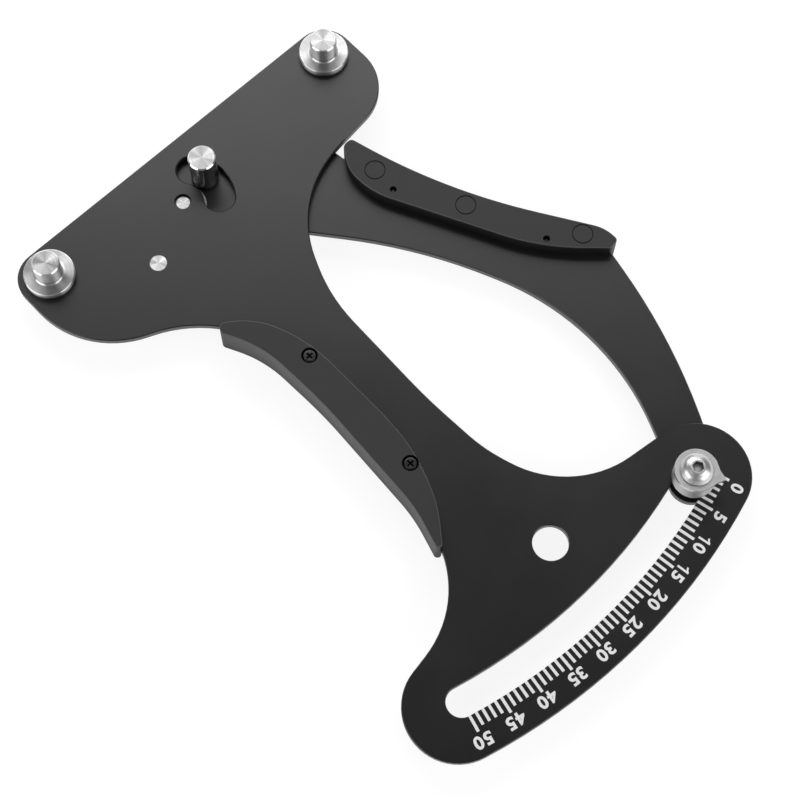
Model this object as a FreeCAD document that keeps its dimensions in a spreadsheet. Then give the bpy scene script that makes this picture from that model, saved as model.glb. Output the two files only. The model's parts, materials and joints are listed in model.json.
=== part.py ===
import FreeCAD, Part
import os
import re
import Sketcher
from FreeCAD import Placement, Rotation, Vector
from math import asin, atan2, cos, hypot, pi, radians, sin, tan

# Spoke tension meter, millimetres.  Every piece is drawn in the tool's own layout: the lever's pivot
# axis is X = Y = 0, the front face of the main plate is Z = 0, +Y points to the head and +Z to the front.
# The finished tool then stands on Z = 0 with the centre of its footprint at the origin.
# Angles are in degrees, measured from +X.  Outlines run counter-clockwise.

SIZES = {
    # plates
    "plate_thickness": 2.3, "lever_thickness": 2.3, "plate_gap": 0.4, "edge_break": 0.25,
    # fixed posts and the head around them
    "post_spacing": 108.9, "left_post_x": -44.2, "post_line_y": 8.3, "post_margin": 9.2,
    "post_radius": 4.1, "post_height": 6.4, "flange_radius": 7.5, "flange_height": 2.4,
    "post_chamfer": 0.35, "post_base_round": 0.6, "flange_round": 0.3, "head_overhang": 0.5,
    "head_left_depth": 17.8, "head_left_round": 29.5, "head_right_depth": 14.7, "head_right_round": 16.5,
    "shoulder_x": 25.0, "shoulder_depth": 20.7, "shoulder_round": 38.0,
    # neck
    "neck_left_top_x": 9.8, "neck_left_top_depth": 36.4, "neck_left_top_round": 39.0,
    "neck_right_top_x": 10.9, "neck_right_top_depth": 52.7, "neck_right_top_round": 55.0,
    "waist_x": 9.5, "waist_depth": 95.0, "waist_round": 176.0,
    "neck_left_low_x": 12.0, "neck_left_low_height": 58.6, "neck_left_low_round": 50.0,
    "neck_right_low_x": 10.6, "neck_right_low_height": 53.4, "neck_right_low_round": 48.0,
    "root_left_x": 24.5, "root_left_height": 24.5, "root_left_round": 32.0,
    "root_right_x": 19.0, "root_right_height": 25.9, "root_right_round": 31.5,
    # tail, scale slot and hang hole
    "scale_radius": 170.6, "slot_width": 8.64, "slot_start": -73.9, "slot_end": -105.1,
    "tail_wall": 16.0, "lobe_radius": 15.3, "lobe_right_angle": -73.3, "lobe_left_angle": -105.6,
    "hang_radius": 5.15, "hang_x": 4.6, "hang_height": 20.8,
    # lever plate
    "hub_radius": 16.5, "lever_end_radius": 6.6,
    "arm_root_x": 14.5, "arm_root_depth": 23.6, "arm_root_round": 24.0,
    "arm_inner_x": 42.15, "arm_inner_depth": 57.9, "arm_inner_round": 160.0,
    "arm_bow_x": 65.1, "arm_bow_height": 57.9, "arm_bow_round": 80.0,
    "arm_heel_x": 62.1, "arm_heel_height": 15.65, "arm_heel_round": 30.0,
    "arm_wrist_x": 47.9, "arm_wrist_height": 18.1, "arm_wrist_round": 10.0,
    "arm_outer_low_x": 75.4, "arm_outer_low_height": 41.5, "arm_outer_low_round": 190.0,
    "arm_outer_mid_x": 82.3, "arm_outer_mid_depth": 97.8, "arm_outer_mid_round": 6.0,
    "arm_outer_top_x": 46.2, "arm_outer_top_depth": 24.5, "arm_outer_top_round": 6.0,
    "arm_shoulder_x": 44.6, "arm_shoulder_depth": 12.5, "arm_shoulder_round": 7.0,
    # pivot
    "pivot_radius": 2.0, "pivot_shoulder": 3.0, "pivot_recess_radius": 2.6, "pivot_recess": 0.8,
    "pivot_washer_radius": 6.9, "back_washer_radius": 5.4, "back_washer_thickness": 0.5,
    "clip_radius": 4.6, "clip_thickness": 0.6, "clip_groove": 2.3, "clip_mouth": 3.2, "pivot_tail": 0.7,
    "running_clearance": 0.05, "face_clearance": 0.04, "press_clearance": 0.01,
    # moving post and its slot
    "moving_post_orbit": 11.2, "moving_post_angle": 13.6, "moving_post_radius": 4.15,
    "moving_post_top": 10.0, "kidney_orbit": 11.0, "kidney_width": 9.5, "kidney_start": -35.4, "kidney_end": 34.8,
    # post screws
    "screw_radius": 2.0, "screw_hole_radius": 2.15, "screw_engagement": 4.5, "screw_head_radius": 3.8,
    "screw_head_height": 2.0, "screw_socket": 2.5, "screw_socket_depth": 1.2, "thread_spare": 1.0,
    # return spring and its pins
    "anchor_x": -18.5, "anchor_y": -10.3, "anchor_radius": 2.5, "lever_pin_x": -5.0, "lever_pin_y": 12.0,
    "lever_pin_radius": 2.0, "pin_flange_radius": 3.1, "pin_flange": 0.6, "pin_stem_radius": 1.9,
    "pin_groove_radius": 1.3, "pin_groove_width": 1.3, "pin_tail": 0.9, "spring_depth": 7.1,
    "spring_radius": 1.9, "spring_wire": 0.5, "spring_hook": 3.4, "spring_clearance": 0.1,
    # grips
    "grip_height": 4.2, "grip_seat": 0.12, "grip_round": 0.4,
    "grip_screw_radius": 1.25, "grip_screw_clearance": 0.25, "grip_screw_head_radius": 2.1,
    "grip_screw_head_height": 1.3, "grip_screw_recess_radius": 2.4, "grip_screw_recess": 1.6,
    "lever_screw_head_radius": 1.75, "lever_screw_recess_radius": 1.95, "grip_screw_tip": 1.2,
    "grip_tip_hole_radius": 1.05, "mark_radius": 3.2, "mark_groove": 0.35, "mark_depth": 0.25,
    # main grip, its corners placed from the neck's left corners and from the pivot axis
    "main_nose_out": 9.5, "main_nose_drop": 2.0, "main_nose_round": 1.5,
    "main_brow_out": 11.2, "main_brow_drop": 4.6, "main_brow_round": 1.3,
    "main_palm_out": 5.4, "main_palm_drop": 16.1, "main_palm_round": 38.0,
    "main_middle_out": 4.5, "main_middle_drop": 40.6, "main_middle_round": 150.0,
    "main_flare_out": 4.7, "main_flare_drop": 5.2, "main_flare_round": 50.0,
    "main_heel_out": 8.4, "main_heel_drop": 17.6, "main_heel_round": 1.0,
    "main_toe_out": 7.0, "main_toe_drop": 19.0, "main_toe_round": 1.0,
    "main_inner_low_x": 11.3, "main_inner_low_height": 49.5, "main_inner_low_round": 40.0,
    "main_inner_x": 4.0, "main_inner_base_height": 67.1, "main_inner_base_round": 62.0,
    "main_inner_top_depth": 60.5, "main_inner_top_round": 46.0,
    "main_inner_nose_x": 10.7, "main_inner_nose_depth": 43.8, "main_inner_nose_round": 24.0,
    "main_screw_top_x": 7.1, "main_screw_top_depth": 63.7,
    "main_screw_low_x": 8.6, "main_screw_low_height": 63.5,
    # lever grip, its corners placed from the arm's outer corners
    "lever_nose_out": 4.3, "lever_nose_rise": 5.3, "lever_nose_round": 1.6,
    "lever_brow_out": 1.1, "lever_brow_round": 2.5,
    "lever_inner_in": 3.6, "lever_inner_drop": 1.6, "lever_inner_round": 12.0,
    "lever_inner_base_drop": 12.2, "lever_inner_base_round": 26.0,
    "lever_bow_in": 15.9, "lever_bow_rise": 13.5, "lever_bow_round": 72.0,
    "lever_toe_in": 0.8, "lever_toe_drop": 0.8, "lever_toe_round": 1.5,
    "lever_heel_out": 2.6, "lever_heel_drop": 0.1, "lever_heel_round": 1.2,
    "lever_flare_rise": 5.2, "lever_flare_round": 12.0,
    "lever_palm_out": 13.2, "lever_palm_drop": 27.4, "lever_palm_round": 185.0,
    "lever_screw_top_out": 1.7, "lever_screw_top_drop": 16.0,
    "lever_screw_low_in": 12.65, "lever_screw_low_rise": 14.5,
    "mark_top_out": 2.2, "mark_top_drop": 7.5, "mark_middle_out": 13.8, "mark_middle_drop": 34.5,
    "mark_low_in": 3.8, "mark_low_rise": 8.3,
    # pointer
    "spacer_radius": 6.2, "spacer_neck_radius": 4.0, "spacer_lift": 0.25, "pointer_underside": 5.6,
    "pointer_thickness": 1.2, "pointer_disc_radius": 6.25, "pointer_reach": 8.6, "pointer_angle": -62.5,
    "pointer_flank_x": 6.3, "pointer_flank_y": 1.9, "pointer_flank_round": 5.0, "pointer_tip_round": 0.35,
    "pointer_screw_radius": 2.5, "pointer_screw_clearance": 0.15, "button_radius": 4.75,
    "button_height": 2.75, "button_rim": 0.45, "button_crown": 2.1, "button_edge_round": 0.8,
    "button_socket": 3.0, "button_socket_depth": 1.6,
    "nut_across_flats": 8.0, "nut_height": 2.7, "screw_end": 0.6,
    "slide_washer_radius": 6.6, "slide_washer_clearance": 0.3,
}

# places that several pieces share
HEAD_TOP = "(post_line_y + post_margin)"
HEAD_LEFT = "(left_post_x - post_margin - head_overhang)"
RIGHT_POST_X = "(left_post_x + post_spacing)"
HEAD_RIGHT = f"({RIGHT_POST_X} + post_margin)"
LEVER_FACE = "-(plate_thickness + plate_gap)"
LEVER_BACK = "-(plate_thickness + plate_gap + lever_thickness)"
TAIL_RADIUS = "(scale_radius + tail_wall)"
LOBE_ORBIT = "(scale_radius + tail_wall - lobe_radius)"
POINTER_X = "scale_radius * cos(slot_start)"
POINTER_Y = "scale_radius * sin(slot_start)"
MOVING_POST_X = "moving_post_orbit * cos(moving_post_angle)"
MOVING_POST_Y = "moving_post_orbit * sin(moving_post_angle)"
FRAME = ("frame_x", "frame_y", "frame_z")
SHORTEST_STRAIGHT = 0.05

# plate edges that the grips wrap, as (x, y, radius) corners
NECK_LEFT = [
    (HEAD_LEFT, "-head_left_depth", "head_left_round"),
    ("-neck_left_top_x", "-neck_left_top_depth", "neck_left_top_round"),
    ("-neck_left_low_x", "-(scale_radius - neck_left_low_height)", "neck_left_low_round"),
    ("-root_left_x", "-(scale_radius - root_left_height)", "root_left_round"),
]
ARM_OUTER = [
    ("arm_outer_low_x", "-(scale_radius - arm_outer_low_height)", "arm_outer_low_round"),
    ("arm_outer_mid_x", "-arm_outer_mid_depth", "arm_outer_mid_round"),
    ("arm_outer_top_x", "-arm_outer_top_depth", "arm_outer_top_round"),
    ("arm_shoulder_x", "-arm_shoulder_depth", "arm_shoulder_round"),
]
MAIN_GRIP_SCREWS = [("-main_screw_top_x", "-main_screw_top_depth"),
                    ("-main_screw_low_x", "-(scale_radius - main_screw_low_height)")]
LEVER_GRIP_SCREWS = [
    ("arm_outer_top_x + lever_screw_top_out", "-(arm_outer_top_depth + lever_screw_top_drop)"),
    ("arm_outer_mid_x - lever_screw_low_in", "-(arm_outer_mid_depth - lever_screw_low_rise)"),
]
MARKS = [
    ("arm_outer_top_x + mark_top_out", "-(arm_outer_top_depth + mark_top_drop)"),
    ("arm_outer_top_x + mark_middle_out", "-(arm_outer_top_depth + mark_middle_drop)"),
    ("arm_outer_mid_x - mark_low_in", "-(arm_outer_mid_depth - mark_low_rise)"),
]


# ---------------------------------------------------------------- sheet, bodies and sketches

def make_sheet(doc):
    """The spreadsheet of sizes: a name, its value and an alias on each row."""
    sheet = doc.addObject("Spreadsheet::Sheet", "Sizes")
    cells = dict(SIZES, **{name: 0.0 for name in FRAME})
    for row, (name, value) in enumerate(cells.items(), start=1):
        sheet.set(f"A{row}", name)
        sheet.set(f"B{row}", str(value))
        sheet.setAlias(f"B{row}", name)
    doc.recompute()
    return sheet


def tied(formula):
    """The formula with each size's name pointing at its cell."""
    def cell(word):
        name = word.group()
        return "Sizes." + name if name in SIZES or name in FRAME else name
    return re.sub(r"[a-z]\w*", cell, formula)


def number(owner, formula):
    """What a formula comes to, as a plain number."""
    value = owner.evalExpression(tied(formula))
    return float(getattr(value, "Value", value))


def new_body(doc, name, x="0", y="0", z="0", turn=None):
    """A named body whose own origin lies at x, y, z of the layout, turned about Z."""
    body = doc.addObject("PartDesign::Body", name)
    body.Label = name
    if turn is not None:
        body.Placement = Placement(Vector(), Rotation(Vector(0, 0, 1), number(body, turn)))
        body.setExpression("Placement.Rotation.Angle", tied(turn))
    for axis, formula in zip("xyz", (x, y, z)):
        body.setExpression(f"Placement.Base.{axis}", tied(f"{formula} + frame_{axis}"))
    return body


def new_sketch(body, height="0", plane="XY_Plane"):
    """An empty sketch on one of the body's own planes, raised by height."""
    sketch = body.newObject("Sketcher::SketchObject", body.Name + "_sketch")
    support = next(item for item in body.Origin.OriginFeatures if item.Role == plane)
    sketch.AttachmentSupport = [(support, "")]
    sketch.MapMode = "FlatFace"
    sketch.setExpression("AttachmentOffset.Base.z", tied(height))
    return sketch


def constrain(sketch, kind, *where, formula=None):
    """One constraint, bound to a formula where it has a value."""
    if formula is None:
        sketch.addConstraint(Sketcher.Constraint(kind, *where))
        return
    index = sketch.addConstraint(Sketcher.Constraint(kind, *where, number(sketch, formula)))
    sketch.setExpression(f"Constraints[{index}]", tied(formula))


def fix_point(sketch, item, end, x, y):
    """Hold a point of the sketch at x, y; a plain 0 puts it on the axis."""
    for kind, formula, axis in (("DistanceX", x, -2), ("DistanceY", y, -1)):
        if formula == "0":
            constrain(sketch, "PointOnObject", item, end, axis)
        else:
            constrain(sketch, kind, -1, 1, item, end, formula=formula)


def circle(sketch, x, y, radius):
    centre = Vector(number(sketch, x), number(sketch, y), 0)
    item = sketch.addGeometry(Part.Circle(centre, Vector(0, 0, 1), number(sketch, radius)))
    constrain(sketch, "Radius", item, formula=radius)
    fix_point(sketch, item, 3, x, y)


def polygon(sketch, points):
    """A closed run of straight lines."""
    spots = [Vector(number(sketch, x), number(sketch, y), 0) for x, y in points]
    first = sketch.GeometryCount
    for start, end in zip(spots, spots[1:] + spots[:1]):
        sketch.addGeometry(Part.LineSegment(start, end))
    for step, (x, y) in enumerate(points):
        constrain(sketch, "Coincident", first + (step - 1) % len(points), 2, first + step, 1)
        fix_point(sketch, first + step, 1, x, y)


def rectangle(sketch, left, right, low, high):
    polygon(sketch, [(left, low), (right, low), (right, high), (left, high)])


def hexagon(sketch, across_flats):
    """A hexagon about the sketch's origin, with two corners on the X axis."""
    corner = f"{across_flats} / 2 / cos(30)"
    polygon(sketch, [(f"{corner} * cos({angle})", f"{corner} * sin({angle})" if angle % 180 else "0")
                     for angle in range(0, 360, 60)])


def arc_between(centre, radius, start, end, left=True):
    """The arc from start to end, running counter-clockwise where left is true."""
    first, last = (start, end) if left else (end, start)
    low, high = (atan2(spot.y - centre.y, spot.x - centre.x) for spot in (first, last))
    return Part.ArcOfCircle(Part.Circle(centre, Vector(0, 0, 1), radius), low, high)


def arc_slot(sketch, orbit, width, start, end):
    """A slot along a circle about the origin, from one cap's centre to the other's."""
    inner = number(sketch, f"{orbit} - {width} / 2")
    outer = number(sketch, f"{orbit} + {width} / 2")
    middle, cap = (inner + outer) / 2, (outer - inner) / 2
    low, high = (Vector(cos(turn), sin(turn), 0)
                 for turn in (radians(number(sketch, angle)) for angle in (start, end)))
    outside = sketch.addGeometry(arc_between(Vector(), outer, low * outer, high * outer))
    far_cap = sketch.addGeometry(arc_between(high * middle, cap, high * outer, high * inner))
    inside = sketch.addGeometry(arc_between(Vector(), inner, low * inner, high * inner))
    near_cap = sketch.addGeometry(arc_between(low * middle, cap, low * inner, low * outer))
    constrain(sketch, "Tangent", outside, 2, far_cap, 1)
    constrain(sketch, "Tangent", far_cap, 2, inside, 2)
    constrain(sketch, "Tangent", inside, 1, near_cap, 1)
    constrain(sketch, "Tangent", near_cap, 2, outside, 1)
    for item, radius in ((outside, f"{orbit} + {width} / 2"), (inside, f"{orbit} - {width} / 2")):
        constrain(sketch, "Coincident", item, 3, -1, 1)
        constrain(sketch, "Radius", item, formula=radius)
    for item, angle, ray in ((far_cap, end, high), (near_cap, start, low)):
        if abs(ray.y) > abs(ray.x):
            constrain(sketch, "DistanceX", -1, 1, item, 3, formula=f"{orbit} * cos({angle})")
        else:
            constrain(sketch, "DistanceY", -1, 1, item, 3, formula=f"{orbit} * sin({angle})")


# ---------------------------------------------------------------- outlines

class Stop:
    """One stop of an outline: a sharp or rounded corner, a disc that it wraps, or the rim.

    The rim is an arc about the origin between two discs that touch it from inside.
    """

    def __init__(self, sketch, x="0", y="0", radius=None, kind=None):
        self.x, self.y, self.size = x, y, radius
        self.kind = kind or ("sharp" if radius is None else "corner")
        self.spot = Vector(number(sketch, x), number(sketch, y), 0)
        self.radius = 0 if radius is None else number(sketch, radius)
        self.share = 1.0
        self.come = self.leave = self.arc = self.line = None

    def wrapped(self):
        return self.radius if self.kind == "disc" else 0

    def head_for(self, after):
        """Set the direction of the straight line from this stop to the next."""
        if "rim" in (self.kind, after.kind):
            return
        across = after.spot - self.spot
        lean = asin((self.wrapped() - after.wrapped()) / across.Length)
        self.leave = after.come = atan2(across.y, across.x) + lean

    def bend(self):
        """How far the outline turns at this stop, positive to the left."""
        return (self.leave - self.come + pi) % (2 * pi) - pi

    def reach(self):
        """How much of each leg beside it the corner's fillet takes."""
        return self.radius * tan(abs(self.bend()) / 2) if self.kind == "corner" else 0

    def touch(self, angle):
        """Where a line of this direction meets the stop: on its disc, or at its corner."""
        return self.spot + Vector(sin(angle), -cos(angle), 0) * self.wrapped()

    def fit_leg(self, after):
        """Lower the share of two fillets that would meet on the straight between them."""
        if self.leave is None:
            return
        leg = (after.touch(self.leave) - self.touch(self.leave)).Length - SHORTEST_STRAIGHT
        wanted = self.reach() + after.reach()
        if wanted > leg:
            self.share = min(self.share, leg / wanted)
            after.share = min(after.share, leg / wanted)

    def measure(self):
        """Find where the outline meets this stop's arc and leaves it."""
        if self.kind == "sharp":
            self.start = self.end = self.spot
        elif self.kind == "disc":
            outwards = self.spot / hypot(self.spot.x, self.spot.y) if None in (self.come, self.leave) else None
            touches = [outwards if angle is None else Vector(sin(angle), -cos(angle), 0)
                       for angle in (self.come, self.leave)]
            self.start, self.end = (self.spot + touch * self.radius for touch in touches)
            self.centre, self.left = self.spot, True
        elif self.kind == "corner":
            self.radius *= self.share
            reach = self.reach()
            self.left = self.bend() > 0
            self.start = self.spot - Vector(cos(self.come), sin(self.come), 0) * reach
            self.end = self.spot + Vector(cos(self.leave), sin(self.leave), 0) * reach
            inwards = self.radius if self.left else -self.radius
            self.centre = self.start + Vector(-sin(self.come), cos(self.come), 0) * inwards

    def draw(self, sketch, before, after):
        """Add the stop's arc and the line that leaves it, and return their (item, start, end) links."""
        if self.kind == "rim":
            self.arc = sketch.addGeometry(arc_between(Vector(), before.end.Length, before.end, after.start))
            return [(self.arc, 1, 2)]
        links = []
        if self.kind != "sharp":
            self.arc = sketch.addGeometry(arc_between(self.centre, self.radius, self.start, self.end, self.left))
            links.append((self.arc, 1, 2) if self.left else (self.arc, 2, 1))
        if self.leave is not None:
            self.line = sketch.addGeometry(Part.LineSegment(self.end, after.start))
            links.append((self.line, 1, 2))
        return links

    def hold(self, sketch, before):
        """Tie the stop to its sizes."""
        if self.kind == "rim":
            constrain(sketch, "Coincident", self.arc, 3, -1, 1)
        elif self.kind == "sharp":
            fix_point(sketch, self.line, 1, self.x, self.y)
        elif self.kind == "disc":
            fix_point(sketch, self.arc, 3, self.x, self.y)
            if before.kind != "rim":
                constrain(sketch, "Radius", self.arc, formula=self.size)
        else:
            corner = sketch.addGeometry(Part.Point(self.spot), True)
            fix_point(sketch, corner, 1, self.x, self.y)
            constrain(sketch, "PointOnObject", corner, 1, before.line)
            constrain(sketch, "PointOnObject", corner, 1, self.line)
            limit = "" if self.share == 1.0 else f" * {self.share:.9f}"
            constrain(sketch, "Radius", self.arc, formula=self.size + limit)


def outline(sketch, stops):
    """A closed counter-clockwise outline: straight lines between its stops, which it rounds or wraps."""
    ring = [Stop(sketch, *stop) for stop in stops]
    before, after = ring[-1:] + ring[:-1], ring[1:] + ring[:1]
    for here, following in zip(ring, after):
        here.head_for(following)
    for here, following in zip(ring, after):
        here.fit_leg(following)
    for stop in ring:
        stop.measure()
    links = []
    for here, previous, following in zip(ring, before, after):
        links += here.draw(sketch, previous, following)
    lines = {stop.line for stop in ring}
    for here, following in zip(links, links[1:] + links[:1]):
        kind = "Coincident" if here[0] in lines and following[0] in lines else "Tangent"
        constrain(sketch, kind, here[0], here[2], following[0], following[1])
    for here, previous in zip(ring, before):
        here.hold(sketch, previous)


# ---------------------------------------------------------------- features

def pad(body, sketch, length, down=False, both_ways=False):
    """A solid of the sketch's outline, up from it, down from it or half each way."""
    feature = body.newObject("PartDesign::Pad", body.Name + "_pad")
    feature.Profile = sketch
    feature.setExpression("Length", tied(length))
    feature.Reversed = down
    feature.Midplane = both_ways
    return feature


def pocket(body, sketch, depth=None, up=False):
    """A cut down from the sketch, or up, to a depth or through everything."""
    feature = body.newObject("PartDesign::Pocket", body.Name + "_pocket")
    feature.Profile = sketch
    if depth is None:
        feature.Type = "ThroughAll"
    else:
        feature.setExpression("Length", tied(depth))
    feature.Reversed = up
    return feature


def holes(body, spots, radius, height="0", depth=None, up=False):
    """Round holes cut from the given height."""
    sketch = new_sketch(body, height)
    for x, y in spots:
        circle(sketch, x, y, radius)
    return pocket(body, sketch, depth, up)


def turned(body, points):
    """A solid of revolution about Z, from a profile of (radius, height) points."""
    sketch = new_sketch(body, plane="XZ_Plane")
    polygon(sketch, points)
    feature = body.newObject("PartDesign::Revolution", body.Name + "_turned")
    feature.Profile = sketch
    feature.ReferenceAxis = (sketch, ["V_Axis"])
    feature.Angle = 360
    return feature


def dress(body, kind, size, heights, radius=None):
    """A Chamfer or Fillet on the level edges at these heights, or only the circles of one radius."""
    body.Document.recompute()
    base = body.Tip
    levels = [number(body, height) for height in heights]
    wanted = None if radius is None else number(body, radius)
    names = []
    for index, edge in enumerate(base.Shape.Edges, start=1):
        box = edge.BoundBox
        level = box.ZLength < 1e-4 and any(abs(box.ZMin - height) < 1e-4 for height in levels)
        round_fits = wanted is None or abs(getattr(edge.Curve, "Radius", 0) - wanted) < 1e-4
        if level and round_fits:
            names.append(f"Edge{index}")
    feature = body.newObject("PartDesign::" + kind, body.Name + "_" + kind.lower())
    feature.Base = (base, names)
    feature.setExpression("Size" if kind == "Chamfer" else "Radius", tied(size))
    return feature


def ring(doc, name, outer, bore, thickness, x="0", y="0", z="0"):
    """A flat washer whose upper face is at z."""
    body = new_body(doc, name, x, y, z)
    sketch = new_sketch(body)
    circle(sketch, "0", "0", outer)
    circle(sketch, "0", "0", bore)
    pad(body, sketch, thickness, down=True)
    return body


# ---------------------------------------------------------------- plates

def make_main_plate(doc):
    """Head, neck and tail in one flat plate."""
    body = new_body(doc, "main_plate")
    sketch = new_sketch(body)
    outline(sketch, [
        (HEAD_RIGHT, HEAD_TOP, "post_margin"),
        (HEAD_LEFT, HEAD_TOP, "post_margin"),
        *NECK_LEFT,
        (f"{LOBE_ORBIT} * cos(lobe_left_angle)", f"{LOBE_ORBIT} * sin(lobe_left_angle)", "lobe_radius", "disc"),
        ("0", "0", None, "rim"),
        (f"{LOBE_ORBIT} * cos(lobe_right_angle)", f"{LOBE_ORBIT} * sin(lobe_right_angle)", "lobe_radius", "disc"),
        ("root_right_x", "-(scale_radius - root_right_height)", "root_right_round"),
        ("neck_right_low_x", "-(scale_radius - neck_right_low_height)", "neck_right_low_round"),
        ("waist_x", "-waist_depth", "waist_round"),
        ("neck_right_top_x", "-neck_right_top_depth", "neck_right_top_round"),
        ("shoulder_x", "-shoulder_depth", "shoulder_round"),
        (HEAD_RIGHT, "-head_right_depth", "head_right_round"),
    ])
    pad(body, sketch, "plate_thickness", down=True)
    slots = new_sketch(body)
    arc_slot(slots, "scale_radius", "slot_width", "slot_end", "slot_start")
    arc_slot(slots, "kidney_orbit", "kidney_width", "kidney_start", "kidney_end")
    circle(slots, "hang_x", "-(scale_radius - hang_height)", "hang_radius")
    pocket(body, slots)
    dress(body, "Chamfer", "edge_break", ["0", "-plate_thickness"])
    holes(body, [("left_post_x", "post_line_y"), (RIGHT_POST_X, "post_line_y")], "screw_hole_radius")
    holes(body, [("0", "0")], "pivot_radius + press_clearance")
    holes(body, [("0", "0")], "pivot_recess_radius", depth="pivot_recess")
    holes(body, [("anchor_x", "anchor_y")], "anchor_radius + press_clearance")
    holes(body, MAIN_GRIP_SCREWS, "grip_screw_radius + grip_screw_clearance")
    return body


def make_lever_plate(doc):
    """Hub, bowed arm and pointer end in one flat plate, behind the main plate."""
    body = new_body(doc, "lever_plate", z=LEVER_FACE)
    sketch = new_sketch(body)
    outline(sketch, [
        ("0", "0", "hub_radius", "disc"),
        ("arm_root_x", "-arm_root_depth", "arm_root_round"),
        ("arm_inner_x", "-arm_inner_depth", "arm_inner_round"),
        ("arm_bow_x", "-(scale_radius - arm_bow_height)", "arm_bow_round"),
        ("arm_wrist_x", "-(scale_radius - arm_wrist_height)", "arm_wrist_round"),
        (POINTER_X, POINTER_Y, "lever_end_radius", "disc"),
        ("arm_heel_x", "-(scale_radius - arm_heel_height)", "arm_heel_round"),
        *ARM_OUTER,
    ])
    pad(body, sketch, "lever_thickness", down=True)
    dress(body, "Chamfer", "edge_break", ["0", "-lever_thickness"])
    holes(body, [("0", "0")], "pivot_shoulder + running_clearance")
    holes(body, [(MOVING_POST_X, MOVING_POST_Y)], "screw_hole_radius")
    holes(body, [("lever_pin_x", "lever_pin_y")], "lever_pin_radius + press_clearance")
    holes(body, [(POINTER_X, POINTER_Y)], "pointer_screw_radius + pointer_screw_clearance")
    holes(body, LEVER_GRIP_SCREWS, "grip_screw_radius + grip_screw_clearance")
    return body


# ---------------------------------------------------------------- posts and their screws

def make_fixed_post(doc, name, x):
    """A flanged post that stands on the main plate, threaded from below."""
    body = new_body(doc, name, x, "post_line_y")
    top = "flange_height + post_height"
    bore = "screw_radius + press_clearance"
    turned(body, [(bore, "0"), ("flange_radius", "0"), ("flange_radius", "flange_height"),
                  ("post_radius", "flange_height"), ("post_radius", top), ("0", top),
                  ("0", "screw_engagement + thread_spare"), (bore, "screw_engagement + thread_spare")])
    dress(body, "Chamfer", "post_chamfer", [top], "post_radius")
    dress(body, "Fillet", "flange_round", ["flange_height"], "flange_radius")
    dress(body, "Fillet", "post_base_round", ["flange_height"], "post_radius")
    return body


def make_moving_post(doc):
    """The plain post that stands on the lever and comes up through the kidney slot."""
    body = new_body(doc, "moving_post", MOVING_POST_X, MOVING_POST_Y, LEVER_FACE)
    top = "moving_post_top + plate_thickness + plate_gap"
    bore = "screw_radius + press_clearance"
    turned(body, [(bore, "0"), ("moving_post_radius", "0"), ("moving_post_radius", top), ("0", top),
                  ("0", "screw_engagement + thread_spare"), (bore, "screw_engagement + thread_spare")])
    dress(body, "Chamfer", "post_chamfer", [top], "moving_post_radius")
    return body


def make_post_screw(doc, name, x, y, seat, thickness):
    """A low socket-head screw under a plate, its shank up into the post."""
    body = new_body(doc, name, x, y, seat)
    shank = f"{thickness} + screw_engagement"
    turned(body, [("0", "-screw_head_height"), ("screw_head_radius", "-screw_head_height"),
                  ("screw_head_radius", "0"), ("screw_radius", "0"), ("screw_radius", shank), ("0", shank)])
    dress(body, "Chamfer", "edge_break", ["-screw_head_height"])
    socket = new_sketch(body, "-screw_head_height")
    hexagon(socket, "screw_socket")
    pocket(body, socket, "screw_socket_depth", up=True)
    return body


# ---------------------------------------------------------------- pivot

def make_pivot_pin(doc):
    """Riveted in the main plate, with a shoulder through the lever and a groove for the clip."""
    body = new_body(doc, "pivot_pin")
    groove_top = f"{LEVER_BACK} - face_clearance - back_washer_thickness"
    groove_base = f"{groove_top} - clip_thickness"
    tail = f"{groove_base} - pivot_tail"
    turned(body, [("0", tail), ("pivot_shoulder", tail), ("pivot_shoulder", groove_base),
                  ("clip_groove", groove_base), ("clip_groove", groove_top),
                  ("pivot_shoulder", groove_top), ("pivot_shoulder", "-plate_thickness"),
                  ("pivot_radius", "-plate_thickness"), ("pivot_radius", "-pivot_recess"),
                  ("0", "-pivot_recess")])
    return body


def make_pivot_washers(doc):
    """The thin washer between the plates and the one under the lever."""
    bore = "pivot_shoulder + running_clearance"
    between = ring(doc, "pivot_washer", "pivot_washer_radius", bore, "plate_gap - 2 * face_clearance",
                   z="-(plate_thickness + face_clearance)")
    under = ring(doc, "pivot_back_washer", "back_washer_radius", bore, "back_washer_thickness",
                 z=f"{LEVER_BACK} - face_clearance")
    return [between, under]


def make_pivot_clip(doc):
    """An open retaining ring in the pin's groove."""
    body = new_body(doc, "pivot_clip", z=f"{LEVER_BACK} - face_clearance - back_washer_thickness")
    sketch = new_sketch(body)
    circle(sketch, "0", "0", "clip_radius")
    circle(sketch, "0", "0", "clip_groove + press_clearance")
    pad(body, sketch, "clip_thickness", down=True)
    mouth = new_sketch(body)
    rectangle(mouth, "0", "2 * clip_radius", "-clip_mouth / 2", "clip_mouth / 2")
    pocket(body, mouth)
    return body


# ---------------------------------------------------------------- return spring

def make_spring_pin(doc, name, x, y, seat, radius, thickness, depth):
    """A grooved pin, riveted in a plate whose front face is its origin; the spring hooks on its groove."""
    body = new_body(doc, name, x, y, seat)
    flange_base = f"-({thickness} + pin_flange)"
    groove_top = f"-({depth} - pin_groove_width / 2)"
    groove_base = f"-({depth} + pin_groove_width / 2)"
    tail = f"-({depth} + pin_groove_width / 2 + pin_tail)"
    turned(body, [("0", tail), ("pin_stem_radius", tail), ("pin_stem_radius", groove_base),
                  ("pin_groove_radius", groove_base), ("pin_groove_radius", groove_top),
                  ("pin_stem_radius", groove_top), ("pin_stem_radius", flange_base),
                  ("pin_flange_radius", flange_base), ("pin_flange_radius", f"-{thickness}"),
                  (radius, f"-{thickness}"), (radius, "0"), ("0", "0")])
    return body


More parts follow.
